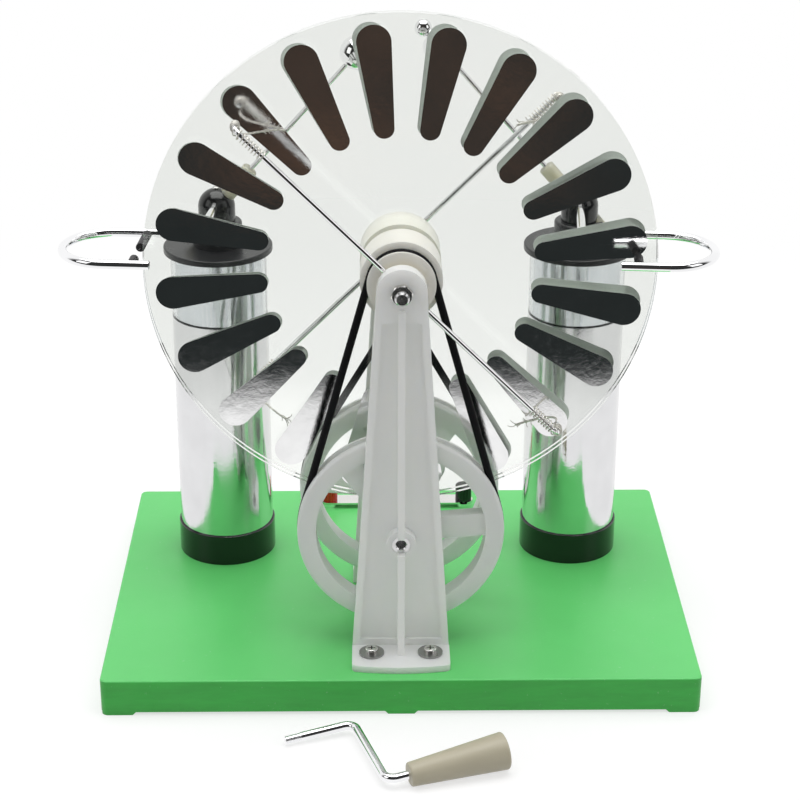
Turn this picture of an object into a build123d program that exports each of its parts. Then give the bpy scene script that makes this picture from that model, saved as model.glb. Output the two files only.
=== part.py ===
from build123d import *
from math import acos, asin, atan2, cos, degrees, hypot, pi, radians, sin, sqrt, tan
import os

# Wimshurst machine in millimetres: X to the right, Y away from the crank side, Z up.
# The origin is the centre of the base's footprint, at the level of the table.

# Fits and clearances
running = 0.05
snug = 0.02
side_play = 0.1
soft_clear = 0.3
cut_extra = 1.0

# Base
base_width = 335.0
base_depth = 237.0
base_lift = 2.0
base_height = 20.0
base_wall = 3.0
base_deck = 3.5
base_corner = 4.0
base_edge = 1.0
foot_width = 18.6
corner_foot_width = 19.6
foot_depth = 12.0
foot_block = 7.0
foot_slope = 2.0
foot_inset = 0.2
boss_radius = 5.0
boss_depth = 9.0

# Screws and nuts of the base
m4_radius = 2.0
m4_head_radius = 3.5
m4_head_height = 2.5
m4_nut_flats = 7.0
m4_nut_height = 3.2
washer_radius = 7.0
washer_thickness = 1.0
foot_screw_length = 16.0
screw_end_free = 1.0
cross_slot_width = 0.8
cross_slot_length = 4.2
cross_slot_depth = 1.2

# Planes across the machine, as distances from the plane midway between the discs
mid_y = -43.0
disc_gap = 3.0
disc_thickness = 2.0
sector_thickness = 0.2
belt_plane = 27.5
pulley_end = 31.7
collar_width = 4.0
web_thickness = 8.0

# Discs and sectors
axle_z = 238.7
axle_radius = 4.0
disc_radius = 140.0
sector_count = 20
sector_inner = 73.0
sector_outer = 134.5
sector_inner_width = 11.0
sector_outer_width = 18.5
front_phase = 6.6
rear_phase = 7.6

# Hubs and bushes
hub_radius = 22.3
spigot_radius = 9.0
pulley_flange_radius = 18.6
pulley_pitch_radius = 17.2
bush_radius = 6.0
spacer_radius = 7.0

# Uprights
upright_foot_half = 27.5
upright_top_radius = 13.5
upright_foot_thickness = 4.0
upright_foot_reach = 24.9
upright_foot_bow = 2.8
upright_foot_corner = 3.0
web_border = 4.0
web_recess = 1.5
recess_top_drop = 17.0
rib_width = 4.0
rib_reach_low = 12.0
rib_reach_high = 1.5
rib_top_drop = 9.5
foot_screw_x = 16.5
foot_screw_out = 8.9
shaft_boss_radius = 8.2
shaft_boss_height = 4.5
axle_nut_flats = 10.6
axle_nut_height = 3.4
axle_nut_turn = -11.0
axle_beyond_nut = 5.6
axle_end_chamfer = 1.0

# Drive shaft and wheels
shaft_z = 92.0
shaft_radius = 5.0
shaft_inset = 0.2
socket_radius = 2.55
socket_depth = 14.0
socket_mouth_radius = 3.15
socket_mouth_depth = 0.6
wheel_radius = 58.0
wheel_width = 12.0
wheel_rim = 10.5
wheel_edge = 2.0
wheel_hub_radius = 11.0
wheel_hub_inner = 6.0
wheel_hub_outer = 7.5
spoke_count = 3
spoke_width = 13.5
spoke_thickness = 8.0
spoke_phase = 5.0
wheel_pitch_radius = 56.0

# Belts
belt_diameter = 4.3
crossing_lead = 16.5

# Neutralisers
rod_angle = 135.0
rod_radius = 1.5
rod_reach = 122.0
rod_bend = 5.0
rod_hook = 9.0
rod_seat = 5.6
collar_radius = 8.5
wire_radius = 0.25
coil_radius = 2.6
coil_end_radius = 2.1
coil_turns = 8
coil_pitch = 1.8
bend_turns = 3
hook_turns = 4
hook_pitch = 1.3
brush_reach = 105.7
brush_side = 16.7
brush_clear = 0.35
tangent_step = 0.001
parallel_limit = 1e-9

# Leyden jars
jar_x = 106.0
jar_y = 45.2
jar_top_turn = -4.5
jar_radius = 28.2
jar_wall = 2.5
jar_floor = 2.5
jar_top = 219.0
foil_thickness = 0.2
outer_foil_top = 177.0
inner_foil_top = 216.5
seat_radius = 29.5
seat_height = 19.3
seat_floor = 6.0
seat_edge = 0.4
cap_radius = 32.0
cap_low = 216.9
cap_top = 220.2
plug_depth = 8.0
plug_wall = 3.0
plug_floor = 3.0
cap_boss_radius = 14.5
cap_boss_height = 14.5
cap_boss_edge = 1.5
centre_rod_radius = 2.0
centre_rod_top = 233.0
contact_foot_radius = 8.0
contact_foot_height = 2.0

# Knobs
knob_radius = 10.8
knob_straight = 8.8
knob_screw_radius = 1.2
knob_screw_head_radius = 2.0
knob_screw_head_height = 1.0

# Discharge electrodes
electrode_slope = 48.2
electrode_z = 243.5
electrode_rod_radius = 1.5
big_ball_radius = 9.9
big_ball_at = 124.0
small_ball_radius = 5.0
small_ball_at = 138.5
handle_radius = 4.65
handle_above = 31.0
handle_below = 26.0
handle_edge = 1.0
handle_notch = 0.35
ball_rod_end = 3.0

# Collector forks and combs
fork_radius = 2.5
fork_z = 246.0
fork_front_y = -64.0
fork_rear_y = -12.0
fork_outer_x = 180.7
fork_front_end_x = 126.4
fork_tail_bend = 6.0
fork_tail_seat = 0.55
comb_x = 136.0
comb_sleeve_radius = 2.5
comb_needle_radius = 0.4
comb_needle_point = 0.1
comb_needle_out = 4.0
comb_needle_in = 3.0
comb_disc_gap = 1.5

# Terminals and link
terminal_x = 43.5
terminal_y = 98.0
post_collar_radius = 6.0
post_collar_height = 2.5
post_top = 10.0
terminal_cap_radius = 5.2
terminal_cap_height = 10.2
terminal_cap_edge = 0.8
terminal_cap_wall = 3.0
grip_flutes = 16
flute_radius = 0.5
link_width = 12.0
link_thickness = 1.2
strip_width = 10.0
strip_thickness = 0.8

# Crank
crank_x = -63.8
crank_y = -149.0
crank_turn = 18.0
crank_rod_radius = 2.5
crank_tip_leg = 39.3
crank_arm = 57.3
crank_bend = 6.0
crank_grip_gap = 12.4
thread_length = 9.0
thread_pitch = 0.8
thread_depth = 0.35
grip_length = 54.4
grip_small_radius = 6.5
grip_large_radius = 10.3
grip_edge = 1.2
retainer_radius = 4.0
retainer_head = 2.5
retainer_thread_radius = 1.5
retainer_thread_length = 8.0

# Sizes worked out from the ones above
base_top = base_lift + base_height
deck_under = base_top - base_deck
disc_inner = disc_gap / 2
disc_outer = disc_inner + disc_thickness
belt_radius = belt_diameter / 2
groove_radius = belt_radius + soft_clear
collar_inner = pulley_end + soft_clear
web_inner = collar_inner + collar_width + side_play
web_outer = web_inner + web_thickness
rod_plane = collar_inner + collar_width / 2
axle_end = web_outer + axle_nut_height + axle_beyond_nut
shaft_end = web_outer + shaft_boss_height - shaft_inset
foot_screw_d = web_outer + foot_screw_out
foot_top = base_top + upright_foot_thickness
seat_top = base_top + seat_floor
glass_low = seat_top + foil_thickness
boss_top = cap_top + cap_boss_height
knob_dome = boss_top + knob_straight
knob_apex = knob_dome + knob_radius
strip_low = deck_under - strip_thickness
nut_low = strip_low - m4_nut_height
stud_low = nut_low - screw_end_free
crank_tilt = degrees(asin((grip_large_radius - grip_small_radius) / grip_length))
crank_grip_start = crank_tip_leg + crank_grip_gap
crank_pin_end = crank_grip_start + grip_length - retainer_head - side_play
m4_head_edge = m4_head_height / 3
cap_edge = (cap_top - cap_low) / 4
knob_bore_length = 4 * knob_radius
knob_screw_head_edge = knob_screw_head_height / 2


def cylinder_y(radius, d_from, d_to, x=0.0, z=0.0):
    """Cylinder along Y on the crank side of the mid-plane, given by distances from that plane."""
    return Pos(x, -(d_from + d_to) / 2, z) * Rot(90, 0, 0) * Cylinder(radius, d_to - d_from)


def cylinder_z(radius, z_from, z_to, x=0.0, y=0.0):
    """Upright cylinder between two heights."""
    return Pos(x, y, (z_from + z_to) / 2) * Cylinder(radius, z_to - z_from)


def plate(face, d_from, d_to):
    """Extrude a face drawn as (x, z), between two distances on the crank side of the mid-plane."""
    return Pos(0, -d_from, 0) * Rot(90, 0, 0) * extrude(face, amount=d_to - d_from)


def on_front(piece):
    """Place a piece built about the mid-plane on the crank side."""
    return Pos(0, mid_y, 0) * piece


def on_rear(piece):
    """Place the same piece on the far side, turned half a turn about the upright axis."""
    return Pos(0, mid_y, 0) * Rot(0, 0, 180) * piece


def group(pieces):
    """Several separate solids kept together as one node."""
    return Compound(children=list(pieces))


def groove(pitch_radius):
    """Round-bottomed belt groove, open to the outside, centred on the belt plane."""
    bottom = Pos(0, -belt_plane, 0) * Rot(90, 0, 0) * Torus(pitch_radius, groove_radius)
    mouth_radius = pitch_radius + 2 * belt_diameter
    mouth = cylinder_y(mouth_radius, belt_plane - groove_radius, belt_plane + groove_radius)
    core = cylinder_y(pitch_radius, belt_plane - groove_radius, belt_plane + groove_radius)
    return bottom + (mouth - core)


def cross_slot(z_top):
    """Cross recess for a pan head screw, cut down from a height."""
    low = z_top - cross_slot_depth
    bar = Pos(0, 0, (low + z_top) / 2) * Box(cross_slot_length, cross_slot_width, cross_slot_depth)
    return bar + Rot(0, 0, 90) * bar


def pan_screw(z_head, length):
    """M4 pan head screw with the underside of its head at a height."""
    head = cylinder_z(m4_head_radius, z_head, z_head + m4_head_height)
    head = fillet(head.faces().sort_by(Axis.Z)[-1].edges(), m4_head_edge)
    shank = cylinder_z(m4_radius, z_head - length, z_head)
    return head + shank - cross_slot(z_head + m4_head_height)


def hex_nut(flats, bore, height):
    """Hexagon nut standing on the XY plane, with its corners turned off."""
    nut = extrude(RegularPolygon(flats / 2, 6, major_radius=False), amount=height)
    corner = flats / sqrt(3)
    turned = Pos(0, 0, height / 2) * Cylinder(corner, height)
    nut = nut & chamfer(turned.edges().filter_by(GeomType.CIRCLE), corner - flats / 2)
    return nut - cylinder_z(bore, -cut_extra, height + cut_extra)


def upright_screw_places():
    """Centres of the four screws that hold the uprights, as (x, y)."""
    return [(x, mid_y + side * foot_screw_d) for side in (-1, 1) for x in (-foot_screw_x, foot_screw_x)]


def foot_face(x, width):
    """Front outline of a foot, with sloping sides where it does not end at a corner of the base."""
    left = x - width / 2
    right = x + width / 2
    left_slope = foot_slope if left > -base_width / 2 else 0
    right_slope = foot_slope if right < base_width / 2 else 0
    points = [(left, foot_block), (left, base_lift), (left + left_slope, 0)]
    points += [(right - right_slope, 0), (right, base_lift), (right, foot_block)]
    return make_face(Polyline(*points, close=True))


def base():
    """Moulded tray with feet, screw bosses and holes for what is fastened to it."""
    body = Pos(0, 0, base_lift + base_height / 2) * Box(base_width, base_depth, base_height)
    body = fillet(body.edges().filter_by(Axis.Z), base_corner)
    body = fillet(body.faces().sort_by(Axis.Z)[-1].edges(), base_edge)
    hollow_height = deck_under - base_lift + cut_extra
    hollow = Pos(0, 0, deck_under - hollow_height / 2) * Box(
        base_width - 2 * base_wall, base_depth - 2 * base_wall, hollow_height
    )
    body -= fillet(hollow.edges().filter_by(Axis.Z), base_corner - base_wall)
    sole_width = base_width - 2 * foot_inset
    sole_depth = base_depth - 2 * foot_inset
    outline = extrude(RectangleRounded(sole_width, sole_depth, base_corner - foot_inset), amount=foot_block)
    corner_x = (base_width - corner_foot_width) / 2
    for x, width in ((-corner_x, corner_foot_width), (0, foot_width), (corner_x, corner_foot_width)):
        for d_from in (-base_depth / 2, base_depth / 2 - foot_depth):
            body += plate(foot_face(x, width), d_from, d_from + foot_depth) & outline
    for x, y in upright_screw_places():
        body += cylinder_z(boss_radius, deck_under - boss_depth, deck_under, x, y)
        tip = foot_top + washer_thickness - foot_screw_length - screw_end_free
        body -= cylinder_z(m4_radius + running, tip, base_top + cut_extra, x, y)
    for side in (-1, 1):
        for x, y in ((side * jar_x, jar_y), (side * terminal_x, terminal_y)):
            body -= cylinder_z(m4_radius + running, deck_under - cut_extra, base_top + cut_extra, x, y)
    return body


def bus_strip(side):
    """Flat brass strip under the deck, from a jar's screw to its terminal."""
    dx = jar_x - terminal_x
    dy = terminal_y - jar_y
    length = hypot(dx, dy)
    strip = extrude(SlotCenterToCenter(length, strip_width), amount=strip_thickness)
    for end in (-length / 2, length / 2):
        strip -= cylinder_z(m4_radius + running, -cut_extra, strip_thickness + cut_extra, end)
    turn = degrees(atan2(dy, -side * dx))
    centre = Pos(side * (jar_x + terminal_x) / 2, (jar_y + terminal_y) / 2, strip_low)
    return centre * Rot(0, 0, turn) * strip


def strip_nuts():
    """Nuts that hold the strips to the jar screws and the terminal posts."""
    nut = hex_nut(m4_nut_flats, m4_radius + running, m4_nut_height)
    places = [(side * x, y) for side in (-1, 1) for x, y in ((jar_x, jar_y), (terminal_x, terminal_y))]
    return group(Pos(x, y, nut_low) * nut for x, y in places)


def jar_seat(side):
    """Ring with a floor that holds the foot of a jar."""
    seat = cylinder_z(seat_radius, base_top, base_top + seat_height)
    jar_hole = jar_radius + foil_thickness + side_play
    seat -= cylinder_z(jar_hole, seat_top, base_top + seat_height + cut_extra)
    seat = fillet(seat.faces().sort_by(Axis.Z)[-1].edges(), seat_edge)
    seat -= cylinder_z(m4_head_radius + side_play, seat_top - m4_head_height, seat_top + cut_extra)
    seat -= cylinder_z(m4_radius + running, base_top - cut_extra, seat_top + cut_extra)
    return Pos(side * jar_x, jar_y, 0) * seat


def jar_seat_screw(side):
    """Screw from the seat's floor down through the base and the strip."""
    head_low = seat_top - m4_head_height
    return Pos(side * jar_x, jar_y, 0) * pan_screw(head_low, head_low - stud_low)


def cup(radius, wall, floor, low, top):
    """Round cup with a flat floor."""
    return cylinder_z(radius, low, top) - cylinder_z(radius - wall, low + floor, top + cut_extra)


def jar_glass(side):
    """Clear tube with a closed foot."""
    return Pos(side * jar_x, jar_y, 0) * cup(jar_radius, jar_wall, jar_floor, glass_low, jar_top)


def outer_foil(side):
    """Foil round the outside and under the foot of the jar."""
    radius = jar_radius + foil_thickness
    foil = cup(radius, foil_thickness, foil_thickness, seat_top, outer_foil_top)
    return Pos(side * jar_x, jar_y, 0) * foil


def inner_foil(side):
    """Foil lining of the jar, up to just under the lid."""
    radius = jar_radius - jar_wall
    low = glass_low + jar_floor
    foil = cup(radius, foil_thickness, foil_thickness, low, inner_foil_top)
    return Pos(side * jar_x, jar_y, 0) * foil


def jar_top_place(side):
    """Place of what turns with a jar's lid: both lids are turned the same way on their tubes."""
    return Pos(side * jar_x, jar_y, 0) * Rot(0, 0, jar_top_turn)


def electrode_frame(side):
    """Frame in the knob whose Z axis runs along the electrode, up and towards the middle."""
    lean = -side * (90 - electrode_slope)
    return jar_top_place(side) * Pos(0, 0, electrode_z) * Rot(0, lean, 0)


def jar_cap(side):
    """Lid with a plug inside the lined tube, and the boss that carries the knob."""
    inner = jar_radius - jar_wall - foil_thickness - side_play
    lid = cylinder_z(cap_radius, cap_low, cap_top)
    lid = fillet(lid.faces().sort_by(Axis.Z)[-1].edges(), cap_edge)
    rim_seat = cylinder_z(jar_radius + side_play, cap_low - cut_extra, jar_top)
    rim_seat -= cylinder_z(inner, cap_low - 2 * cut_extra, jar_top + cut_extra)
    lid -= rim_seat
    plug = cylinder_z(inner, cap_low - plug_depth, cap_low)
    plug -= cylinder_z(inner - plug_wall, cap_low - plug_depth - cut_extra, cap_low - plug_floor)
    boss = cylinder_z(cap_boss_radius, cap_top, boss_top)
    boss = fillet(boss.faces().sort_by(Axis.Z)[-1].edges(), cap_boss_edge)
    hole_low = cap_low - plug_depth
    lid = lid + plug + boss - cylinder_z(centre_rod_radius + snug, hole_low, centre_rod_top)
    reach = handle_below + cut_extra
    notch = Pos(0, 0, -reach / 2) * Cylinder(handle_radius + handle_notch, reach)
    return Pos(side * jar_x, jar_y, 0) * lid - electrode_frame(side) * notch


def contact_rod(side):
    """Rod from the boss down to a round foot on the inner foil."""
    low = glass_low + jar_floor + foil_thickness
    rod = cylinder_z(centre_rod_radius, low, centre_rod_top)
    foot = cylinder_z(contact_foot_radius, low, low + contact_foot_height)
    return Pos(side * jar_x, jar_y, 0) * (rod + foot)


def knob_screw_low():
    """Height of the clamp screw's lower end, just clear of the sloping handle."""
    slope = radians(electrode_slope)
    return electrode_z + handle_radius / cos(slope) + knob_screw_radius * tan(slope) + side_play


def knob(side):
    """Bullet-shaped knob with the electrode's bore, the fork's hole and the clamp screw's hole."""
    body = cylinder_z(knob_radius, boss_top, knob_dome)
    dome = Pos(0, 0, knob_dome) * Sphere(knob_radius)
    body += dome & cylinder_z(knob_radius + cut_extra, knob_dome, knob_apex + cut_extra)
    body -= cylinder_z(knob_screw_radius + snug, electrode_z, knob_apex + cut_extra)
    fork_hole_low = -knob_radius - cut_extra
    fork_hole_end = -handle_radius
    fork_hole = Pos(0, (fork_hole_low + fork_hole_end) / 2, fork_z) * Rot(90, 0, 0) * Cylinder(
        fork_radius + snug, fork_hole_end - fork_hole_low
    )
    body -= fork_hole
    body = jar_top_place(side) * body
    return body - electrode_frame(side) * Cylinder(handle_radius + running, knob_bore_length)


def knob_screw(side):
    """Small round-headed screw on top of the knob."""
    low = knob_screw_low()
    screw = cylinder_z(knob_screw_radius, low, knob_apex)
    head = cylinder_z(knob_screw_head_radius, knob_apex, knob_apex + knob_screw_head_height)
    head = fillet(head.faces().sort_by(Axis.Z)[-1].edges(), knob_screw_head_edge)
    return Pos(side * jar_x, jar_y, 0) * (screw + head)


def electrode_rod(side):
    """Straight rod from inside the handle to the small ball."""
    low = -handle_below / 2
    high = small_ball_at - small_ball_radius + ball_rod_end
    rod = Cylinder(electrode_rod_radius, high - low)
    return electrode_frame(side) * Pos(0, 0, (low + high) / 2) * rod


def spark_balls(side):
    """The large ball, bored through, and the small ball on the rod's end."""
    big = Pos(0, 0, big_ball_at) * Sphere(big_ball_radius)
    small = Pos(0, 0, small_ball_at) * Sphere(small_ball_radius)
    rod_low = big_ball_at - 2 * big_ball_radius
    rod_high = small_ball_at - small_ball_radius + ball_rod_end
    bore = Cylinder(electrode_rod_radius + snug, rod_high - rod_low)
    bore = Pos(0, 0, (rod_low + rod_high) / 2) * bore
    frame = electrode_frame(side)
    return group([frame * (big - bore), frame * (small - bore)])


def electrode_handle(side):
    """Insulating sleeve that slides in the knob."""
    length = handle_above + handle_below
    sleeve = Pos(0, 0, (handle_above - handle_below) / 2) * Cylinder(handle_radius, length)
    sleeve = fillet(sleeve.edges().filter_by(GeomType.CIRCLE), handle_edge)
    bore_low = -handle_below / 2
    bore_high = handle_above + cut_extra
    bore = Cylinder(electrode_rod_radius + snug, bore_high - bore_low)
    bore = Pos(0, 0, (bore_low + bore_high) / 2) * bore
    return electrode_frame(side) * (sleeve - bore)


def swept_rod(path, radius):
    """Round rod along a path."""
    start = path.position_at(0)
    return sweep(Plane(origin=start, z_dir=path.tangent_at(0)) * Circle(radius), path=path)


def collector_fork(side):
    """U-shaped rod round the discs' edge, with a tail that goes back into the knob."""
    bend = (fork_rear_y - fork_front_y) / 2
    bend_x = side * (fork_outer_x - fork_radius - bend - jar_x)
    front_y = fork_front_y - jar_y
    rear_y = fork_rear_y - jar_y
    front = Line((side * (fork_front_end_x - jar_x), front_y, 0), (bend_x, front_y, 0))
    loop_middle = (bend_x + side * bend, (front_y + rear_y) / 2, 0)
    loop = ThreePointArc(front @ 1, loop_middle, (bend_x, rear_y, 0))
    back = Line(loop @ 1, (side * fork_tail_bend, rear_y, 0))
    turn = TangentArc(back @ 1, (0, rear_y + fork_tail_bend, 0), tangent=back % 1)
    tail = Line(turn @ 1, (0, -handle_radius - fork_tail_seat, 0))
    rod = swept_rod(Wire([front, loop, back, turn, tail]), fork_radius)
    return jar_top_place(side) * Pos(0, 0, fork_z) * rod


def comb_places():
    """For each comb: its side, the fork leg's y, and the direction towards the discs."""
    return [(side, y, way) for side in (-1, 1) for y, way in ((fork_front_y, 1), (fork_rear_y, -1))]


def comb_ends(side, y, way):
    """Frame of a comb in the turned lid's frame, and the distances to its leg and to its needle's tip."""
    x = side * (comb_x - jar_x)
    turn = radians(jar_top_turn)
    tip_y = mid_y - way * (disc_outer + sector_thickness + comb_disc_gap)
    tip = (tip_y - jar_y - x * sin(turn)) / cos(turn)
    near = y - jar_y + way * (fork_radius + snug)
    return jar_top_place(side) * Pos(x, 0, fork_z), near, tip


def comb_sleeve(side, y, way):
    """Black sleeve from the fork's leg towards the disc."""
    place, near, tip = comb_ends(side, y, way)
    far = tip - way * comb_needle_out
    sleeve = Cylinder(comb_sleeve_radius, abs(far - near))
    sleeve -= Cylinder(comb_needle_radius + snug, abs(far - near) + cut_extra)
    return place * Pos(0, (near + far) / 2, 0) * Rot(90, 0, 0) * sleeve


def comb_needle(side, y, way):
    """Pointed needle inside the sleeve, from the leg's surface to its tip."""
    place, near, tip = comb_ends(side, y, way)
    shoulder = tip - way * comb_needle_in
    shank = Pos(0, (near + shoulder) / 2, 0) * Rot(90, 0, 0) * Cylinder(
        comb_needle_radius, abs(shoulder - near)
    )
    point = Cone(comb_needle_radius, comb_needle_point, comb_needle_in)
    return place * (shank + Pos(0, (shoulder + tip) / 2, 0) * Rot(-90 * way, 0, 0) * point)


def web_half_width(z):
    """Half width of an upright's web at a height."""
    share = (z - base_top) / (axle_z - base_top)
    return upright_foot_half + share * (upright_top_radius - upright_foot_half)


def web_face(inset, low, high):
    """Tapered web outline, inset from its sides, between two heights."""
    left_low = (-web_half_width(low) + inset, low)
    left_high = (-web_half_width(high) + inset, high)
    right_high = (web_half_width(high) - inset, high)
    right_low = (web_half_width(low) - inset, low)
    return make_face(Polyline(left_low, left_high, right_high, right_low, close=True))


def upright():
    """Tapered web with a rounded top, a foot, a stiffening rib and the shaft's boss."""
    web = plate(web_face(0, base_top, axle_z), web_inner, web_outer)
    web += cylinder_y(upright_top_radius, web_inner, web_outer, z=axle_z)
    recess_low = foot_top + web_border
    recess_high = axle_z - recess_top_drop
    recess = web_face(web_border, recess_low, recess_high)
    web -= plate(recess, web_outer - web_recess, web_outer + cut_extra)
    foot_back = Box(2 * upright_foot_half, upright_foot_reach, upright_foot_thickness)
    foot_y = -(web_outer + upright_foot_reach / 2)
    foot = Pos(0, foot_y, base_top + upright_foot_thickness / 2) * foot_back
    bow_radius = (upright_foot_half**2 + upright_foot_bow**2) / (2 * upright_foot_bow)
    bow = cylinder_z(bow_radius, base_top, foot_top, 0, -(web_outer + upright_foot_reach) + bow_radius)
    foot = foot & bow
    front_corners = foot.edges().filter_by(Axis.Z).group_by(Axis.Y)[0]
    foot = fillet(front_corners, upright_foot_corner)
    web += foot
    rib_top = axle_z - rib_top_drop
    rib_points = [
        (-(web_outer - web_recess), base_top),
        (-(web_outer + rib_reach_low), base_top),
        (-(web_outer + rib_reach_low), foot_top),
        (-(web_outer + rib_reach_high), rib_top),
        (-(web_outer - web_recess), rib_top),
    ]
    rib_face = Plane.YZ * make_face(Polyline(*rib_points, close=True))
    web += Pos(-rib_width / 2, 0, 0) * extrude(rib_face, amount=rib_width)
    web += cylinder_y(shaft_boss_radius, web_inner, web_outer + shaft_boss_height, z=shaft_z)
    web -= cylinder_y(axle_radius + snug, web_inner - cut_extra, axle_end, z=axle_z)
    web -= cylinder_y(shaft_radius + running, web_inner - cut_extra, axle_end, z=shaft_z)
    for x in (-foot_screw_x, foot_screw_x):
        low = base_top - cut_extra
        web -= cylinder_z(m4_radius + running, low, foot_top + cut_extra, x, -foot_screw_d)
    return web


def foot_screws():
    """Four pan head screws, two in each upright's foot."""
    screw = pan_screw(foot_top + washer_thickness, foot_screw_length)
    return group(Pos(x, y, 0) * screw for x, y in upright_screw_places())


def foot_washers():
    """Plain washers under the foot screws."""
    washer = cylinder_z(washer_radius, foot_top, foot_top + washer_thickness)
    washer -= cylinder_z(m4_radius + running, foot_top - cut_extra, foot_top + 2 * washer_thickness)
    return group(Pos(x, y, 0) * washer for x, y in upright_screw_places())


def axle():
    """Fixed upper axle, chamfered at both ends."""
    rod = cylinder_y(axle_radius, -axle_end, axle_end, z=axle_z)
    return on_front(chamfer(rod.edges().filter_by(GeomType.CIRCLE), axle_end_chamfer))


def axle_nut():
    """Hexagon nut against the upright, on the crank side."""
    nut = hex_nut(axle_nut_flats, axle_radius + snug, axle_nut_height)
    return Pos(0, -web_outer, axle_z) * Rot(0, axle_nut_turn, 0) * Rot(90, 0, 0) * nut


def disc_spacer():
    """Washer on the axle between the two discs."""
    half = disc_inner - side_play
    ring = cylinder_y(spacer_radius, -half, half, z=axle_z)
    return on_front(ring - cylinder_y(axle_radius + snug, -disc_gap, disc_gap, z=axle_z))


def disc():
    """Clear disc with a bore for the hub's spigot."""
    body = cylinder_y(disc_radius, disc_inner, disc_outer, z=axle_z)
    return body - cylinder_y(spigot_radius + snug, 0, 2 * disc_outer, z=axle_z)


def sectors(phase):
    """Foil sectors with round ends on the disc's outer face, the first one turned left of upright."""
    inner = sector_inner + sector_inner_width / 2
    outer = sector_outer - sector_outer_width / 2
    inner_end = Pos(0, inner) * Circle(sector_inner_width / 2)
    outer_end = Pos(0, outer) * Circle(sector_outer_width / 2)
    face = make_hull(inner_end.edges() + outer_end.edges())
    foil = plate(face, disc_outer, disc_outer + sector_thickness)
    pitch = 360 / sector_count
    return group(Pos(0, 0, axle_z) * Rot(0, -phase + i * pitch, 0) * foil for i in range(sector_count))


def hub():
    """Nylon hub with the pulley's groove and a spigot through the disc."""
    body = cylinder_y(hub_radius, disc_outer, belt_plane)
    body += cylinder_y(pulley_flange_radius, belt_plane, pulley_end)
    body += cylinder_y(spigot_radius, disc_inner, disc_outer)
    body -= groove(pulley_pitch_radius)
    body -= cylinder_y(bush_radius + snug, 0, 2 * pulley_end)
    return Pos(0, 0, axle_z) * body


def hub_bush():
    """Brass bush in the hub that turns on the axle."""
    body = cylinder_y(bush_radius, disc_inner, pulley_end, z=axle_z)
    return body - cylinder_y(axle_radius + running, 0, 2 * pulley_end, z=axle_z)


def neutraliser_collar():
    """Collar that turns on the axle and holds two rods."""
    collar = cylinder_y(collar_radius, collar_inner, collar_inner + collar_width)
    collar -= cylinder_y(axle_radius + running, 0, 2 * web_inner)
    for turn in (rod_angle, rod_angle + 180):
        reach = Pos(collar_radius, -rod_plane, 0) * Rot(0, 90, 0) * Cylinder(
            rod_radius + snug, 2 * (collar_radius - rod_seat)
        )
        collar -= Rot(0, -turn, 0) * reach
    return Pos(0, 0, axle_z) * collar


def neutraliser_rod():
    """Rod along +X from the collar, with its end bent towards the disc."""
    corner = (rod_reach, -rod_plane, 0)
    end = (rod_reach, -rod_plane + rod_bend + rod_hook, 0)
    return swept_rod(FilletPolyline((rod_seat, -rod_plane, 0), corner, end, radius=rod_bend), rod_radius)


def rod_centre(s):
    """Point and direction on the rod's centre line in its (x, y) plane, at a distance from the axle."""
    straight = rod_reach - rod_bend
    if s <= straight:
        return (s, -rod_plane), (1.0, 0.0)
    angle = (s - straight) / rod_bend
    if angle <= pi / 2:
        x = straight + rod_bend * sin(angle)
        y = -rod_plane + rod_bend * (1 - cos(angle))
        return (x, y), (cos(angle), sin(angle))
    beyond = s - straight - rod_bend * pi / 2
    return (rod_reach, -rod_plane + rod_bend + beyond), (0.0, 1.0)


def winding_progress(turn):
    """Distance along the rod and radius of the winding after a number of turns."""
    straight = rod_reach - rod_bend
    coil_start = straight - coil_turns * coil_pitch
    bend_length = rod_bend * pi / 2
    if turn <= coil_turns:
        return coil_start + turn * coil_pitch, coil_radius
    if turn <= coil_turns + bend_turns:
        share = (turn - coil_turns) / bend_turns
        ease = (1 - cos(pi * share)) / 2
        return straight + share * bend_length, coil_radius + ease * (coil_end_radius - coil_radius)
    beyond = turn - coil_turns - bend_turns
    return straight + bend_length + beyond * hook_pitch, coil_end_radius


def winding_point(turn):
    """Point of the wire's centre line after a number of turns."""
    s, radius = winding_progress(turn)
    (x, y), (tx, ty) = rod_centre(s)
    angle = 2 * pi * turn
    out = radius * cos(angle)
    return Vector(x - ty * out, y + tx * out, radius * sin(angle))


def winding_tangent(turn):
    """Direction of the wire's centre line after a number of turns."""
    return (winding_point(turn + tangent_step) - winding_point(turn - tangent_step)).normalized()


def biarc(p0, t0, p1, t1):
    """Two arcs that run from one point and direction to another without a corner."""
    v = p1 - p0
    a = 2 * (1 - t0.dot(t1))
    b = 2 * v.dot(t0 + t1)
    c = v.dot(v)
    if a < parallel_limit:
        d = c / b
    else:
        d = (-b + sqrt(b * b + 4 * a * c)) / (2 * a)
    joint = (p0 + t0 * d + p1 - t1 * d) * 0.5
    joint_way = ((p1 - t1 * d) - (p0 + t0 * d)).normalized()
    return [Edge.make_tangent_arc(p0, t0, joint), Edge.make_tangent_arc(joint, joint_way, p1)]


def winding_wire():
    """Centre line of a winding on the rod along +X, running on as the brush."""
    quarters = 4 * (coil_turns + bend_turns + hook_turns)
    edges = []
    for i in range(quarters):
        a = i / 4
        b = (i + 1) / 4
        edges += biarc(winding_point(a), winding_tangent(a), winding_point(b), winding_tangent(b))
    leave = winding_point(quarters / 4)
    leave_way = winding_tangent(quarters / 4)
    tip_y = -(disc_outer + sector_thickness + brush_clear + wire_radius)
    tip = Vector(brush_reach, tip_y, -brush_side)
    tip_way = (tip - Vector(rod_reach, -rod_plane / 2, 0)).normalized()
    edges += biarc(leave, leave_way, tip, tip_way)
    return Wire(edges)


def winding():
    """One unbroken wire, wound round the rod's end and led to the disc as the brush."""
    return swept_rod(winding_wire(), wire_radius)


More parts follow.
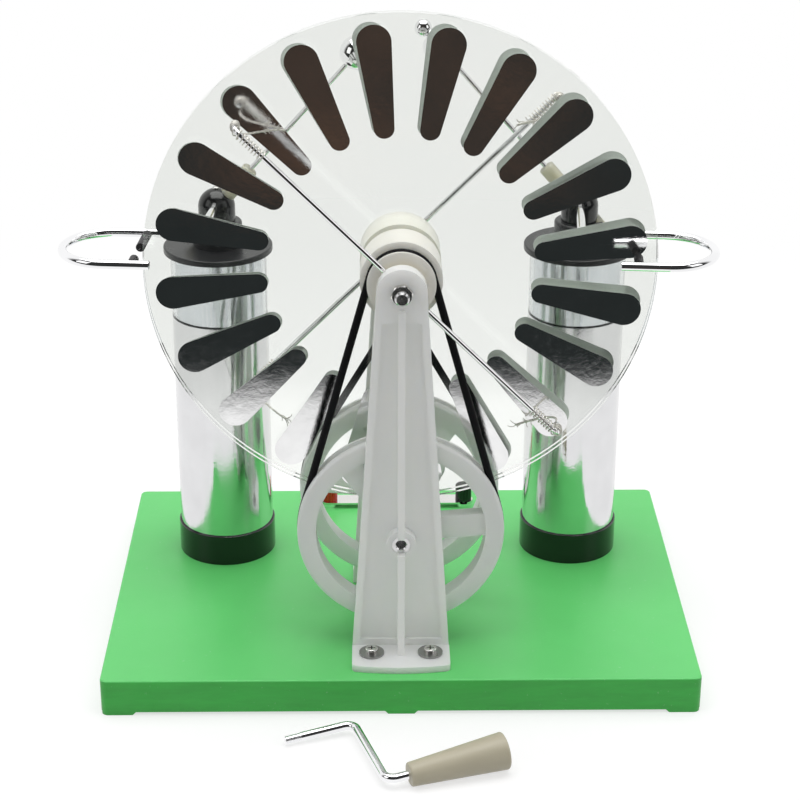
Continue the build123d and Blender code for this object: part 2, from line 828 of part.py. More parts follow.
def least_winding_gap():
    """Smallest gap between neighbouring turns of the winding, measured on points of its centre line."""
    steps = 48
    turns = coil_turns + bend_turns + hook_turns
    points = [winding_point(i / steps) for i in range(turns * steps + 1)]
    gap = coil_radius
    for i, p in enumerate(points):
        for q in points[i + steps // 2 : i + 2 * steps]:
            gap = min(gap, (p - q).length - 2 * wire_radius)
    return gap


def drive_shaft():
    """Lower shaft through both uprights, with the crank's threaded socket at the front."""
    shaft = cylinder_y(shaft_radius, -shaft_end, shaft_end, z=shaft_z)
    shaft -= cylinder_y(socket_radius, shaft_end - socket_depth, shaft_end + cut_extra, z=shaft_z)
    mouth = Cone(socket_radius, socket_mouth_radius, socket_mouth_depth)
    shaft -= Pos(0, -(shaft_end - socket_mouth_depth / 2), shaft_z) * Rot(90, 0, 0) * mouth
    return on_front(shaft)


def drive_wheel():
    """Three-spoke wheel with a belt groove."""
    near = belt_plane - wheel_width / 2
    far = belt_plane + wheel_width / 2
    rim = cylinder_y(wheel_radius, near, far)
    rim = fillet(rim.edges().filter_by(GeomType.CIRCLE), wheel_edge)
    rim -= cylinder_y(wheel_radius - wheel_rim, near - cut_extra, far + cut_extra)
    hub_end = belt_plane + wheel_hub_outer
    wheel = rim + cylinder_y(wheel_hub_radius, belt_plane - wheel_hub_inner, hub_end)
    spoke_length = wheel_radius - wheel_rim / 2
    spoke = Pos(spoke_length / 2, -belt_plane, 0) * Box(spoke_length, spoke_thickness, spoke_width)
    spoke &= cylinder_y(spoke_length, near, far)
    for i in range(spoke_count):
        wheel += Rot(0, -spoke_phase - i * 360 / spoke_count, 0) * spoke
    wheel -= groove(wheel_pitch_radius)
    wheel -= cylinder_y(shaft_radius + snug, 0, 2 * belt_plane)
    return Pos(0, 0, shaft_z) * wheel


def circle_point(radius, angle, centre_z, y):
    """Point on a circle round the Y direction, at an angle from +X towards +Z."""
    return Vector(radius * cos(radians(angle)), y, centre_z + radius * sin(radians(angle)))


def belt_from_halves(halves):
    """One closed belt from two open runs that meet end to end."""
    first, second = (swept_rod(Wire(edges), belt_radius) for edges in halves)
    return first + second


def arc_between(radius, start, end, centre_z, y):
    """Arc round a pulley between two angles."""
    middle = circle_point(radius, (start + end) / 2, centre_z, y)
    return Edge.make_three_point_arc(
        circle_point(radius, start, centre_z, y), middle, circle_point(radius, end, centre_z, y)
    )


def open_belt():
    """Front belt: over the pulley, down both sides and under the wheel."""
    y = mid_y - belt_plane
    span = axle_z - shaft_z
    lean = degrees(asin((wheel_pitch_radius - pulley_pitch_radius) / span))
    top = arc_between(pulley_pitch_radius, lean, 90, axle_z, y)
    low = arc_between(wheel_pitch_radius, -90, lean, shaft_z, y)
    run = Edge.make_line(low @ 1, top @ 0)
    right = [low, run, top]
    left_top = arc_between(pulley_pitch_radius, 90, 180 - lean, axle_z, y)
    left_low = arc_between(wheel_pitch_radius, 180 - lean, 270, shaft_z, y)
    left_run = Edge.make_line(left_top @ 1, left_low @ 0)
    return belt_from_halves([right, [left_top, left_run, left_low]])


def crossed_strand(side, y):
    """Strand from the wheel on one side to the pulley on the other, stepping aside where they cross."""
    span = axle_z - shaft_z
    lean = degrees(acos((wheel_pitch_radius + pulley_pitch_radius) / span))
    angle = 90 - side * lean
    start = circle_point(wheel_pitch_radius, angle, shaft_z, y)
    end = circle_point(pulley_pitch_radius, angle + 180, axle_z, y)
    way = (end - start).normalized()
    aside = belt_radius + soft_clear
    crossing_z = shaft_z + span * wheel_pitch_radius / (wheel_pitch_radius + pulley_pitch_radius)
    crossing = Vector(0, y + side * aside, crossing_z)
    lead = end - way * crossing_lead
    edges = biarc(start, way, crossing, way) + biarc(crossing, way, lead, way)
    return edges + [Edge.make_line(lead, end)], angle


def crossed_belt():
    """Rear belt, crossed so that the rear disc turns the other way."""
    y = mid_y + belt_plane
    right, angle = crossed_strand(1, y)
    left, left_angle = crossed_strand(-1, y)
    wheel_right = arc_between(wheel_pitch_radius, -90, angle, shaft_z, y)
    wheel_left = arc_between(wheel_pitch_radius, 270, left_angle, shaft_z, y)
    pulley_left = arc_between(pulley_pitch_radius, angle + 180, 90, axle_z, y)
    pulley_right = arc_between(pulley_pitch_radius, left_angle - 180, 90, axle_z, y)
    first = [wheel_right] + right + [pulley_left]
    second = [wheel_left] + left + [pulley_right]
    return belt_from_halves([first, second])


def terminal_post(side):
    """Stud through the base with a collar on top of it."""
    collar = cylinder_z(post_collar_radius, base_top, base_top + post_collar_height)
    stud = cylinder_z(m4_radius, stud_low, base_top + post_top)
    return Pos(side * terminal_x, terminal_y, 0) * (collar + stud)


def link_low():
    """Underside of the link strip, just off the posts' collars."""
    return base_top + post_collar_height + side_play


def link_strip():
    """Strip that swings on the left post and hooks round the right one."""
    low = link_low()
    high = low + link_thickness
    strip = extrude(SlotCenterToCenter(2 * terminal_x, link_width), amount=link_thickness)
    strip -= cylinder_z(m4_radius + running, -cut_extra, high, -terminal_x)
    strip -= cylinder_z(m4_radius + soft_clear, -cut_extra, high, terminal_x)
    mouth_width = 2 * (m4_radius + soft_clear)
    mouth = Pos(terminal_x, -link_width / 2, 0) * Box(mouth_width, link_width, 2 * high)
    return Pos(0, terminal_y, low) * (strip - mouth)


def terminal_cap(side):
    """Fluted screw cap on a terminal's stud."""
    low = link_low() + link_thickness + side_play
    high = low + terminal_cap_height
    body = cylinder_z(terminal_cap_radius, low, high)
    body = fillet(body.faces().sort_by(Axis.Z)[-1].edges(), terminal_cap_edge)
    for i in range(grip_flutes):
        angle = 2 * pi * i / grip_flutes
        x = terminal_cap_radius * cos(angle)
        y = terminal_cap_radius * sin(angle)
        body -= cylinder_z(flute_radius, low - cut_extra, high + cut_extra, x, y)
    body -= cylinder_z(m4_radius + running, low - cut_extra, high - terminal_cap_wall + side_play)
    return Pos(side * terminal_x, terminal_y, 0) * body


def crank_place():
    """Frame of the loose crank: X along its tip and grip, Y across to the arm's far end."""
    rise = radians(crank_tilt)
    tip_z = grip_small_radius / cos(rise) - crank_grip_start * tan(rise)
    return Pos(crank_x, crank_y, tip_z) * Rot(0, 0, crank_turn) * Rot(0, -crank_tilt, 0)


def crank_rod():
    """Bent rod with a threaded tip, an arm and the pin that the grip turns on."""
    corners = [(0, 0, 0), (crank_tip_leg, 0, 0)]
    corners += [(crank_tip_leg, -crank_arm, 0), (crank_pin_end, -crank_arm, 0)]
    rod = swept_rod(FilletPolyline(*corners, radius=crank_bend), crank_rod_radius)
    rings = int(thread_length / thread_pitch)
    for i in range(rings):
        x = (i + 0.5) * thread_pitch
        cutter = Torus(crank_rod_radius, thread_depth)
        rod -= Pos(x, 0, 0) * Rot(0, 90, 0) * cutter
    hole = Pos(crank_pin_end - retainer_thread_length / 2, -crank_arm, 0) * Rot(0, 90, 0)
    return crank_place() * (rod - hole * Cylinder(retainer_thread_radius + snug, retainer_thread_length))


def crank_grip():
    """Conical grip that turns on the crank's pin."""
    body = Cone(grip_small_radius, grip_large_radius, grip_length)
    body = fillet(body.edges().filter_by(GeomType.CIRCLE), grip_edge)
    body -= Cylinder(crank_rod_radius + running, grip_length + cut_extra)
    head_depth = retainer_head + side_play
    head_room = Cylinder(retainer_radius + soft_clear, head_depth)
    body -= Pos(0, 0, (grip_length - head_depth) / 2) * head_room
    return crank_place() * Pos(crank_grip_start + grip_length / 2, -crank_arm, 0) * Rot(0, 90, 0) * body


def crank_retainer():
    """Screw in the pin's end that keeps the grip on."""
    head = Pos(0, 0, retainer_head / 2) * Cylinder(retainer_radius, retainer_head)
    head -= cross_slot(retainer_head)
    shank = Cylinder(retainer_thread_radius, retainer_thread_length)
    shank = Pos(0, 0, -retainer_thread_length / 2) * shank
    return crank_place() * Pos(crank_pin_end, -crank_arm, 0) * Rot(0, 90, 0) * (head + shank)


def both_sides(make):
    """The left and the right copy of a piece as one node."""
    return group([make(-1), make(1)])


def build_nodes():
    """All nodes of the machine by name."""
    nodes = {
        "base": base(),
        "bus_strips": both_sides(bus_strip),
        "strip_nuts": strip_nuts(),
        "jar_seats": both_sides(jar_seat),
        "jar_seat_screws": both_sides(jar_seat_screw),
        "outer_foils": both_sides(outer_foil),
        "inner_foils": both_sides(inner_foil),
        "contact_rods": both_sides(contact_rod),
        "knob_screws": both_sides(knob_screw),
        "comb_sleeves": group(comb_sleeve(*place) for place in comb_places()),
        "comb_needles": group(comb_needle(*place) for place in comb_places()),
        "foot_screws": foot_screws(),
        "foot_washers": foot_washers(),
        "axle": axle(),
        "axle_nuts": group([on_front(axle_nut()), on_rear(axle_nut())]),
        "disc_spacer": disc_spacer(),
        "sectors_front": on_front(sectors(front_phase)),
        "sectors_rear": on_rear(sectors(-rear_phase)),
        "drive_shaft": drive_shaft(),
        "belt_front": open_belt(),
        "belt_rear": crossed_belt(),
        "terminal_posts": both_sides(terminal_post),
        "terminal_cap_red": terminal_cap(-1),
        "terminal_cap_black": terminal_cap(1),
        "link_strip": link_strip(),
        "crank_rod": crank_rod(),
        "crank_grip": crank_grip(),
        "crank_retainer": crank_retainer(),
    }
    for side, word in ((-1, "left"), (1, "right")):
        nodes["jar_glass_" + word] = jar_glass(side)
        nodes["jar_cap_" + word] = jar_cap(side)
        nodes["knob_" + word] = knob(side)
        nodes["collector_fork_" + word] = collector_fork(side)
        nodes["electrode_rod_" + word] = electrode_rod(side)
        nodes["spark_balls_" + word] = spark_balls(side)
        nodes["electrode_handle_" + word] = electrode_handle(side)
    arm_angles = {"upper": rod_angle, "lower": rod_angle + 180}
    rod = neutraliser_rod()
    wound = winding()
    for place, word in ((on_front, "front"), (on_rear, "rear")):
        nodes["upright_" + word] = place(upright())
        nodes["disc_" + word] = place(disc())
        nodes["hub_" + word] = place(hub())
        nodes["hub_bush_" + word] = place(hub_bush())
        nodes["drive_wheel_" + word] = place(drive_wheel())
        nodes["neutraliser_collar_" + word] = place(neutraliser_collar())
        turned = {name: Pos(0, 0, axle_z) * Rot(0, -angle, 0) for name, angle in arm_angles.items()}
        nodes["neutraliser_rods_" + word] = group(place(turn * rod) for turn in turned.values())
        for name, turn in turned.items():
            nodes["winding_" + word + "_" + name] = place(turn * wound)
    return nodes


os.makedirs("parts", exist_ok=True)
for node_name, piece in build_nodes().items():
    export_step(piece, "parts/" + node_name + ".step")
print("least gap in a winding: %.2f mm" % least_winding_gap())
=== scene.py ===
import bpy
import bmesh
import random
from math import atan2, cos, pi, radians, sin, sqrt
from mathutils import Matrix, Vector


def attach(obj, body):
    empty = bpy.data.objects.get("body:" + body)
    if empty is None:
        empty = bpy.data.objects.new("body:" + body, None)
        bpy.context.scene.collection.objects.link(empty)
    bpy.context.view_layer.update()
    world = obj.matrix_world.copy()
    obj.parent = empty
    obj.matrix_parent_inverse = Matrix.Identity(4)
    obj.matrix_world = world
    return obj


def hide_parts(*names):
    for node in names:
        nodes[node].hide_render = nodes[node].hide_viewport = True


# A wimshurst machine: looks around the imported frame, in metres.
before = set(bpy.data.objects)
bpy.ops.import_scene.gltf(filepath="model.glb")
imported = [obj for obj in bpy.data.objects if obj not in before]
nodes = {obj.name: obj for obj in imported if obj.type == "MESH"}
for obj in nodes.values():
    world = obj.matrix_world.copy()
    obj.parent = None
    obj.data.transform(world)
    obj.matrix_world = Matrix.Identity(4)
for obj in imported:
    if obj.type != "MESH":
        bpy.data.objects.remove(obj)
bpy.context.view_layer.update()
MM = 0.001

# Photograph's camera
CAMERA_PLACE = Vector((-17.0, -1093.2, 622.9)) * MM
CAMERA_YAW = 0.92
CAMERA_PITCH = 23.858
CAMERA_ROLL = 0.183
CAMERA_LENS = 92.1
CAMERA_SENSOR = 36.0

# Frame values that the pieces made here share with the nodes
MID_Y = -43.0 * MM
AXLE_Z = 238.7 * MM
SHAFT_Z = 92.0 * MM
BELT_PLANE = 27.5 * MM
BELT_RADIUS = 2.15 * MM
PULLEY_PITCH = 17.2 * MM
WHEEL_PITCH = 56.0 * MM
CROSSING_ASIDE = 2.45 * MM
CROSSING_LEAD = 16.5 * MM
ROD_PLANE = 34.0 * MM
ROD_REACH = 122.0 * MM
ROD_BEND = 5.0 * MM
ROD_ANGLE = 135.0
WIRE_RADIUS = 0.32 * MM
STRAND_RADIUS = 0.22 * MM
STRAND_SPREAD = 0.42 * MM
COIL_RADIUS = 2.45 * MM
COIL_END_RADIUS = 2.1 * MM
COIL_TURNS = 8
COIL_PITCH = 2.0 * MM
BEND_TURNS = 3
HOOK_TURNS = 4
HOOK_PITCH = 1.3 * MM
LOOSENESS = 0.1 * MM
LOOSE_STEP = 2.3
POINTS_A_TURN = 18
STRAND_COUNT = 4
STRAND_STEPS = 60
STRAND_TWISTS = 4
FRAY_COUNT = 9
FRAY_STEPS = 10
FRAY_FROM = 0.62
FRAY_LENGTH = (2.5, 6.0)
FRAY_LEAN = 0.7
FRAY_BEND = 2.2
WINDING_SEED = 11
BRUSH_TIPS = {
    "upper": Vector((98.5, -4.9, -11.0)) * MM,
    "lower": Vector((112.0, -4.9, -20.5)) * MM,
}

# Stage
FLOOR_HALF = 6.0
SHADOW_REACH = 0.35
SHADOW_END = 0.80
WHITE_REACH = 0.375
WHITE_END = 0.460
ROOM_LEVEL = 0.035
SKY_LEVEL = 0.30
CEILING_START = 0.84
CEILING_FULL = 0.95
BACK_START = -0.15
BACK_FULL = 0.25
FLOOR_LIT = 0.40
FLOOR_GLOW = 0.65
FLOOR_PLAIN = 0.65
ROOM_GREY = (0.021, 0.025, 0.025, 1.0)
ROOM_BROWN = (0.080, 0.050, 0.036, 1.0)
BROWN_GRAIN = 6.0
BROWN_SIDE = (0.12, 0.30)
BROWN_FRONT = (-1.0, -0.85)
LAMP_AIM = (0.0, MID_Y, 0.18)
LAMPS = (
    ("top", (0.0, 0.15, 1.9), (2.0, 1.6), 30.0),
    ("left", (-1.6, -0.9, 1.0), (0.9, 1.2), 4.5),
    ("right", (1.6, -0.9, 1.0), (0.9, 1.2), 4.5),
)
CLEAR_LAYERS = 32


def new_material(name):
    """Empty node material with a Principled shader."""
    material = bpy.data.materials.new(name)
    material.use_nodes = True
    tree = material.node_tree
    shader = tree.nodes["Principled BSDF"]
    return material, tree, shader


def set_inputs(shader, **values):
    """Set sockets by name, with underscores for spaces."""
    for key, value in values.items():
        shader.inputs[key.replace("_", " ")].default_value = value


def object_point(tree, scale=(1.0, 1.0, 1.0)):
    """Object coordinates, stretched along the axes."""
    coordinate = tree.nodes.new("ShaderNodeTexCoord")
    mapping = tree.nodes.new("ShaderNodeMapping")
    mapping.inputs["Scale"].default_value = scale
    tree.links.new(coordinate.outputs["Object"], mapping.inputs["Vector"])
    return mapping.outputs["Vector"]


def noise(tree, point, scale, detail=3.0, roughness=0.55):
    """Noise value over a point."""
    node = tree.nodes.new("ShaderNodeTexNoise")
    node.inputs["Scale"].default_value = scale
    node.inputs["Detail"].default_value = detail
    node.inputs["Roughness"].default_value = roughness
    tree.links.new(point, node.inputs["Vector"])
    return node.outputs["Fac"]


def ramp(tree, value, stops):
    """Colour ramp over a value."""
    node = tree.nodes.new("ShaderNodeValToRGB")
    elements = node.color_ramp.elements
    while len(elements) < len(stops):
        elements.new(0.5)
    for element, (place, colour) in zip(elements, stops):
        element.position = place
        element.color = colour
    tree.links.new(value, node.inputs["Fac"])
    return node.outputs["Color"]


def map_range(tree, value, low, high, to_low=0.0, to_high=1.0):
    """Smooth ramp of a value between two limits."""
    node = tree.nodes.new("ShaderNodeMapRange")
    node.interpolation_type = "SMOOTHSTEP"
    node.inputs["From Min"].default_value = low
    node.inputs["From Max"].default_value = high
    node.inputs["To Min"].default_value = to_low
    node.inputs["To Max"].default_value = to_high
    tree.links.new(value, node.inputs["Value"])
    return node.outputs["Result"]


def either(tree, first, second):
    """The larger of two values."""
    node = tree.nodes.new("ShaderNodeMath")
    node.operation = "MAXIMUM"
    tree.links.new(first, node.inputs[0])
    tree.links.new(second, node.inputs[1])
    return node.outputs[0]


def times(tree, first, second):
    """Product of two values."""
    node = tree.nodes.new("ShaderNodeMath")
    node.operation = "MULTIPLY"
    tree.links.new(first, node.inputs[0])
    tree.links.new(second, node.inputs[1])
    return node.outputs[0]


def choose(tree, factor, first, second):
    """Mix of two shaders by a factor."""
    node = tree.nodes.new("ShaderNodeMixShader")
    tree.links.new(factor, node.inputs["Fac"])
    tree.links.new(first, node.inputs[1])
    tree.links.new(second, node.inputs[2])
    return node.outputs[0]


def grey(level):
    """Grey as a colour with alpha."""
    return (level, level, level, 1.0)


def shade(colour, factor):
    """A colour made darker or lighter."""
    return tuple(min(1.0, c * factor) for c in colour[:3]) + (1.0,)


def add_bump(tree, shader, height, strength, distance):
    """Bump from a height, chained after any bump that the shader has."""
    node = tree.nodes.new("ShaderNodeBump")
    node.inputs["Strength"].default_value = strength
    node.inputs["Distance"].default_value = distance
    socket = shader.inputs["Normal"]
    if socket.links:
        tree.links.new(socket.links[0].from_socket, node.inputs["Normal"])
    tree.links.new(height, node.inputs["Height"])
    tree.links.new(node.outputs["Normal"], socket)


def vary_colour(tree, shader, colour, point, scale, spread):
    """Base colour that drifts a little either side of a colour."""
    value = noise(tree, point, scale)
    stops = [(0.3, shade(colour, 1 - spread)), (0.7, shade(colour, 1 + spread))]
    tree.links.new(ramp(tree, value, stops), shader.inputs["Base Color"])


def vary_roughness(tree, shader, point, scale, low, high):
    """Roughness between two levels."""
    value = noise(tree, point, scale)
    levels = ramp(tree, value, [(0.3, grey(low)), (0.7, grey(high))])
    tree.links.new(levels, shader.inputs["Roughness"])


def moulded(name, colour, rough, spread=0.04, grain=0.05, sss=0.0, coat=0.0):
    """Moulded plastic with a faint grain and drifting colour."""
    material, tree, shader = new_material(name)
    point = object_point(tree)
    vary_colour(tree, shader, colour, point, 18.0, spread)
    vary_roughness(tree, shader, point, 60.0, rough * 0.85, rough * 1.15)
    add_bump(tree, shader, noise(tree, point, 900.0, 2.0), grain, 0.0004)
    set_inputs(shader, IOR=1.5, Coat_Weight=coat, Coat_Roughness=0.12)
    if sss:
        set_inputs(shader, Subsurface_Weight=sss, Subsurface_Scale=0.012)
        shader.inputs["Subsurface Radius"].default_value = (1.0, 0.95, 0.85)
    return material


def metal(name, colour, rough, scratches=0.15, direction=(1.0, 1.0, 1.0)):
    """Bare metal with fine scratches and uneven polish."""
    material, tree, shader = new_material(name)
    point = object_point(tree, direction)
    vary_colour(tree, shader, colour, point, 30.0, 0.05)
    vary_roughness(tree, shader, point, 220.0, rough * 0.7, rough * 1.4)
    add_bump(tree, shader, noise(tree, point, 1500.0, 4.0), scratches, 0.0001)
    set_inputs(shader, Metallic=1.0)
    return material


def slanted(tree, straight):
    """Share of light that a clear surface mirrors, growing at a slant."""
    layer = tree.nodes.new("ShaderNodeLayerWeight")
    layer.inputs["Blend"].default_value = 0.5
    power = tree.nodes.new("ShaderNodeMath")
    power.operation = "POWER"
    power.inputs[1].default_value = 5.0
    tree.links.new(layer.outputs["Facing"], power.inputs[0])
    share = tree.nodes.new("ShaderNodeMath")
    share.operation = "MULTIPLY_ADD"
    share.inputs[1].default_value = 1.0 - straight
    share.inputs[2].default_value = straight
    tree.links.new(power.outputs[0], share.inputs[0])
    return share.outputs[0]


def sheet_faces(tree, point, waviness, tint):
    """Face of a clear sheet: seen straight through, with a faint mirror image."""
    through = tree.nodes.new("ShaderNodeBsdfTransparent")
    through.inputs["Color"].default_value = tint
    mirror = tree.nodes.new("ShaderNodeBsdfGlossy")
    mirror.inputs["Roughness"].default_value = 0.01
    add_bump(tree, mirror, noise(tree, point, 12.0, 1.0), waviness, 0.0004)
    return choose(tree, slanted(tree, 0.04), through.outputs[0], mirror.outputs[0])


def clear_tube(name, tint):
    """Clear tube wall that bends what is seen through it, very slightly uneven."""
    material, tree, shader = new_material(name)
    set_inputs(shader, Base_Color=tint, Roughness=0.0, IOR=1.49, Transmission_Weight=1.0)
    add_bump(tree, shader, noise(tree, object_point(tree), 12.0, 1.0), 0.05, 0.0004)
    path = tree.nodes.new("ShaderNodeLightPath")
    clear = tree.nodes.new("ShaderNodeBsdfTransparent")
    clear.inputs["Color"].default_value = (0.95, 0.97, 0.96, 1.0)
    mixed = choose(tree, path.outputs["Is Shadow Ray"], shader.outputs["BSDF"], clear.outputs[0])
    tree.links.new(mixed, tree.nodes["Material Output"].inputs["Surface"])
    return material


def clear_disc(name, tint, edge):
    """Clear disc: plain faces, and a polished edge that bends what is seen through it."""
    material, tree, shader = new_material(name)
    point = object_point(tree)
    set_inputs(shader, Base_Color=edge, Roughness=0.04, IOR=1.49, Transmission_Weight=1.0)
    add_bump(tree, shader, noise(tree, point, 150.0, 2.0), 0.10, 0.0002)
    face = sheet_faces(tree, point, 0.02, tint)
    coordinate = tree.nodes.new("ShaderNodeTexCoord")
    parts = tree.nodes.new("ShaderNodeSeparateXYZ")
    tree.links.new(coordinate.outputs["Normal"], parts.inputs[0])
    size = tree.nodes.new("ShaderNodeMath")
    size.operation = "ABSOLUTE"
    tree.links.new(parts.outputs["Y"], size.inputs[0])
    flat = map_range(tree, size.outputs[0], 0.5, 0.9)
    seen = choose(tree, flat, shader.outputs["BSDF"], face)
    path = tree.nodes.new("ShaderNodeLightPath")
    clear = tree.nodes.new("ShaderNodeBsdfTransparent")
    clear.inputs["Color"].default_value = tint
    mixed = choose(tree, path.outputs["Is Shadow Ray"], seen, clear.outputs[0])
    tree.links.new(mixed, tree.nodes["Material Output"].inputs["Surface"])
    return material


def sector_foil(name, outward):
    """Foil sector: a wrinkled mirror outside, satin grey on the side stuck to the disc."""
    material, tree, shader = new_material(name)
    point = object_point(tree)
    vary_colour(tree, shader, (0.86, 0.86, 0.86, 1.0), point, 60.0, 0.05)
    vary_roughness(tree, shader, point, 260.0, 0.03, 0.10)
    set_inputs(shader, Metallic=1.0)
    add_bump(tree, shader, noise(tree, point, 300.0, 6.0, 0.7), 0.16, 0.00025)
    add_bump(tree, shader, noise(tree, point, 45.0, 2.0), 0.10, 0.001)
    stuck = tree.nodes.new("ShaderNodeBsdfPrincipled")
    vary_colour(tree, stuck, (0.84, 0.88, 0.85, 1.0), point, 40.0, 0.06)
    vary_roughness(tree, stuck, point, 60.0, 0.4, 0.5)
    geometry = tree.nodes.new("ShaderNodeTexCoord")
    parts = tree.nodes.new("ShaderNodeSeparateXYZ")
    tree.links.new(geometry.outputs["Normal"], parts.inputs[0])
    facing = map_range(tree, parts.outputs["Y"], -0.5 * outward, 0.5 * outward)
    mixed = choose(tree, facing, stuck.outputs["BSDF"], shader.outputs["BSDF"])
    tree.links.new(mixed, tree.nodes["Material Output"].inputs["Surface"])
    return material


def jar_foil(name):
    """Foil wrapped round a jar, with long upright creases."""
    material, tree, shader = new_material(name)
    tall = object_point(tree, (1.0, 1.0, 0.06))
    point = object_point(tree)
    set_inputs(shader, Metallic=1.0)
    vary_colour(tree, shader, (0.76, 0.76, 0.77, 1.0), point, 40.0, 0.04)
    vary_roughness(tree, shader, tall, 120.0, 0.06, 0.18)
    add_bump(tree, shader, noise(tree, tall, 90.0, 4.0, 0.6), 0.30, 0.0008)
    add_bump(tree, shader, noise(tree, point, 500.0, 4.0), 0.12, 0.0002)
    return material


def rubber(name):
    """Matt black belt cord."""
    material, tree, shader = new_material(name)
    point = object_point(tree)
    vary_colour(tree, shader, (0.006, 0.006, 0.007, 1.0), point, 80.0, 0.2)
    vary_roughness(tree, shader, point, 300.0, 0.42, 0.6)
    add_bump(tree, shader, noise(tree, point, 1400.0, 3.0), 0.2, 0.0002)
    set_inputs(shader, Specular_IOR_Level=0.1)
    return material


def base_green(name, colour, side):
    """Moulded green: fine speckle on the top, and faintly streaked sides in a darker green that
    is painted shade.
    """
    material = moulded(name, colour, 0.36, 0.02, 0.10, sss=0.10)
    tree = material.node_tree
    shader = tree.nodes["Principled BSDF"]
    plain = shader.inputs["Base Color"].links[0].from_socket
    streak = noise(tree, object_point(tree, (1.0, 1.0, 6.0)), 28.0, 5.0, 0.7)
    # Darker green for the sides: painted shade, for the smaller share of light that reaches them
    # than reaches the top.
    sides = ramp(tree, streak, [(0.3, shade(side, 0.9)), (0.7, shade(side, 1.1))])
    grain = noise(tree, object_point(tree), 420.0, 2.0)
    speck = ramp(tree, grain, [(0.70, grey(0.0)), (0.80, grey(1.0))])
    coordinate = tree.nodes.new("ShaderNodeTexCoord")
    parts = tree.nodes.new("ShaderNodeSeparateXYZ")
    tree.links.new(coordinate.outputs["Normal"], parts.inputs[0])
    # Faces that look up keep the plain green, and the others take the painted shade.
    lit_top_share = map_range(tree, parts.outputs["Z"], 0.05, 0.5)
    blend = tree.nodes.new("ShaderNodeMix")
    blend.data_type = "RGBA"
    tree.links.new(lit_top_share, blend.inputs["Factor"])
    tree.links.new(sides, blend.inputs["A"])
    tree.links.new(plain, blend.inputs["B"])
    dust = tree.nodes.new("ShaderNodeMix")
    dust.data_type = "RGBA"
    faint = tree.nodes.new("ShaderNodeMath")
    faint.operation = "MULTIPLY"
    faint.inputs[1].default_value = 0.16
    tree.links.new(speck, faint.inputs[0])
    tree.links.new(faint.outputs[0], dust.inputs["Factor"])
    tree.links.new(blend.outputs["Result"], dust.inputs["A"])
    dust.inputs["B"].default_value = grey(0.75)
    tree.links.new(dust.outputs["Result"], shader.inputs["Base Color"])
    return material


def milky(name, colour, weight):
    """Translucent plastic that lets some light through."""
    material = moulded(name, colour, 0.38, 0.02, 0.05, sss=0.9)
    shader = material.node_tree.nodes["Principled BSDF"]
    set_inputs(shader, Transmission_Weight=weight, IOR=1.45)
    return material


def srgb(r, g, b):
    """Linear colour from 0 to 255 display values."""
    def linear(c):
        c = c / 255
        return c / 12.92 if c <= 0.04045 else ((c + 0.055) / 1.055) ** 2.4
    return (linear(r), linear(g), linear(b), 1.0)


# The second colour is the darker green of the sides, which is painted shade.
GREEN = base_green("green_moulding", srgb(104, 217, 118), (0.040, 0.470, 0.060, 1.0))
NYLON = moulded("white_nylon", srgb(245, 246, 243), 0.38, 0.01, 0.05, sss=0.5)
# The wheels use the white nylon a little darker, as painted shade for the shade they sit in.
WHEEL_NYLON_SHADED = moulded("wheel_nylon_painted_shade", srgb(234, 236, 233), 0.40, 0.015, 0.05, sss=0.5)
IVORY = moulded("ivory_plastic", srgb(251, 248, 237), 0.35, 0.01, 0.04, sss=0.4)
BLACK = moulded("black_gloss", srgb(22, 22, 24), 0.16, 0.05, 0.03, coat=0.2)
BLACK_CAP = moulded("black_lid", srgb(44, 44, 46), 0.30, 0.06, 0.05)
BLACK_MATT = moulded("black_sleeve", srgb(20, 20, 21), 0.55, 0.06, 0.05)
RED = moulded("red_gloss", srgb(205, 38, 24), 0.2, 0.03, 0.03, coat=0.3)
GRIP = moulded("beige_grip", srgb(189, 182, 160), 0.42, 0.03, 0.12, sss=0.1)
HANDLE = milky("milky_sleeve", srgb(232, 229, 205), 0.45)
CHROME = metal("chrome", (0.90, 0.90, 0.91, 1.0), 0.05, 0.04)
STEEL = metal("bright_steel", (0.74, 0.73, 0.71, 1.0), 0.18, 0.15)
WASHER = metal("washer_steel", (0.36, 0.36, 0.35, 1.0), 0.34, 0.2)
SHAFT = metal("ground_steel", (0.66, 0.66, 0.66, 1.0), 0.22, 0.2, (1.0, 0.1, 1.0))
BRASS = metal("brass", (0.80, 0.62, 0.30, 1.0), 0.22, 0.2)
WIRE = metal("brush_wire", (0.74, 0.72, 0.67, 1.0), 0.55, 0.1)
DISC = clear_disc("clear_disc", (0.985, 0.990, 0.982, 1.0), (0.97, 0.99, 0.985, 1.0))
TUBE = clear_tube("clear_tube", (0.93, 0.955, 0.965, 1.0))
FOIL_FRONT = sector_foil("foil_front", -1.0)
FOIL_REAR = sector_foil("foil_rear", 1.0)
JAR_FOIL = jar_foil("jar_foil")
RUBBER = rubber("belt_rubber")

